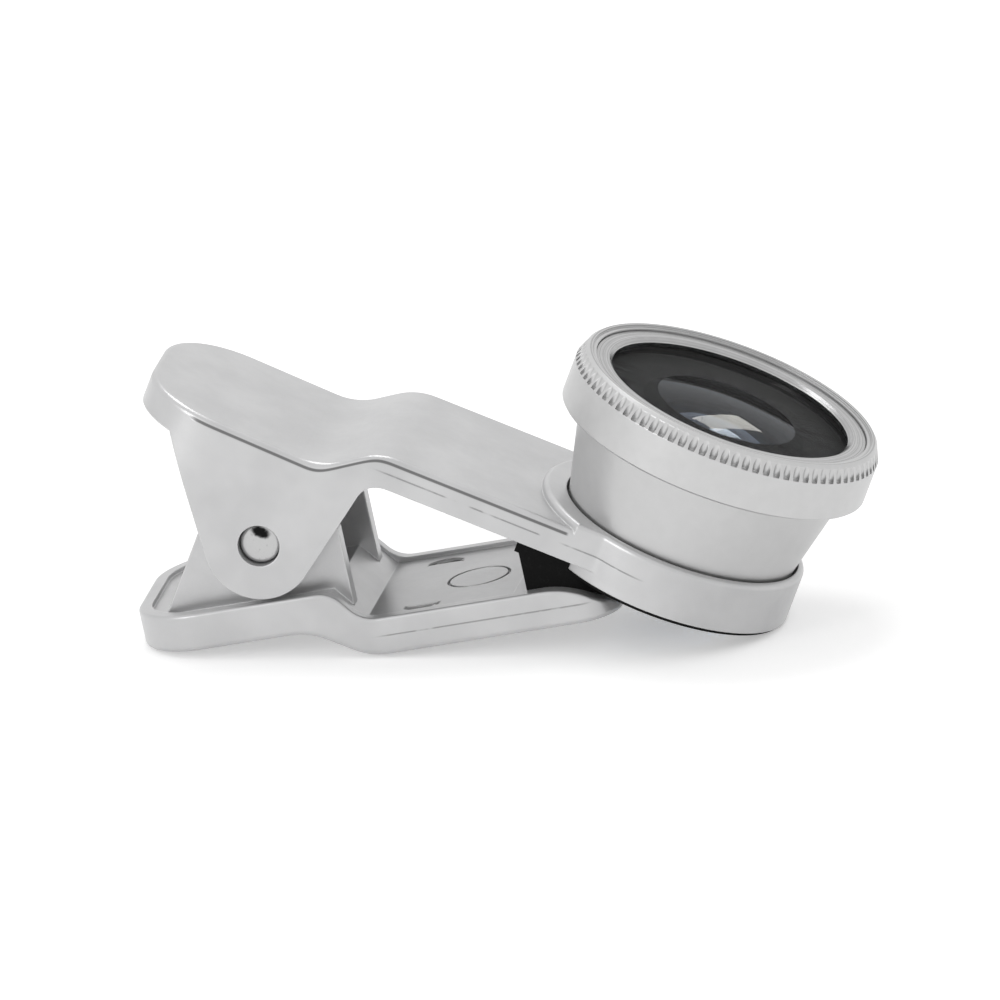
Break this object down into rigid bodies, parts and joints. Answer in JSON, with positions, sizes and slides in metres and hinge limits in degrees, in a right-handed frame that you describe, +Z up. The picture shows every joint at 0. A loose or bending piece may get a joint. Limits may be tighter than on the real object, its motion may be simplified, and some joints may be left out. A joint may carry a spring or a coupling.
{
  "type": "clip-on phone lens",
  "caption": "Sprung two-arm clip with soft jaw pads that holds a wide-angle lens with a fluted front ring over a phone's camera.",
  "frame": {"origin": "centre of the closed clip's box, on the surface that it rests on", "axes": "+X from the grips to the lens, +Y across the arms, +Z up as the closed clip lies on a table"},
  "size_m": [0.0592, 0.0254, 0.0237],
  "materials": {
    "silver_paint": "satin silver paint on moulded plastic",
    "satin_aluminium": "satin, turned",
    "black_anodised": "matt black anodised",
    "jaw_rubber": "matt black",
    "pin_steel": "plated",
    "spring_steel": "bright drawn wire",
    "front_glass": "polished, coated",
    "inner_glass": "polished, blue coating"
  },
  "bodies": {
    "lower": {"lower_arm": "silver_paint", "lower_jaw_pad": "jaw_rubber"},
    "upper": {"upper_arm": "silver_paint", "upper_jaw_pad": "jaw_rubber", "hinge_pin": "pin_steel", "torsion_spring": "spring_steel"},
    "lens": {"lens_barrel": "satin_aluminium", "front_ring": "satin_aluminium", "front_retaining_ring": "satin_aluminium", "front_element": "front_glass", "baffle_ring": "black_anodised", "baffle_shim": "black_anodised", "inner_cell": "black_anodised", "middle_element": "inner_glass", "aperture_spacer": "black_anodised", "rear_element": "inner_glass", "rear_retaining_ring": "black_anodised"}
  },
  "joints": [
    {"name": "jaw_hinge", "type": "hinge", "parent": "lower", "child": "upper", "pos_m": [-0.01871, 0, 0.0094], "axis": [0, -1, 0], "range_deg": [0, 35], "stiffness_Nm_per_rad": 0.1, "springref_deg": -45.84, "deforming": ["torsion_spring"]},
    {"name": "lens_unscrew", "type": "slide", "parent": "upper", "child": "lens", "axis": [0.3938, 0, 0.9192], "range_m": [0, 0.012]}
  ]
}
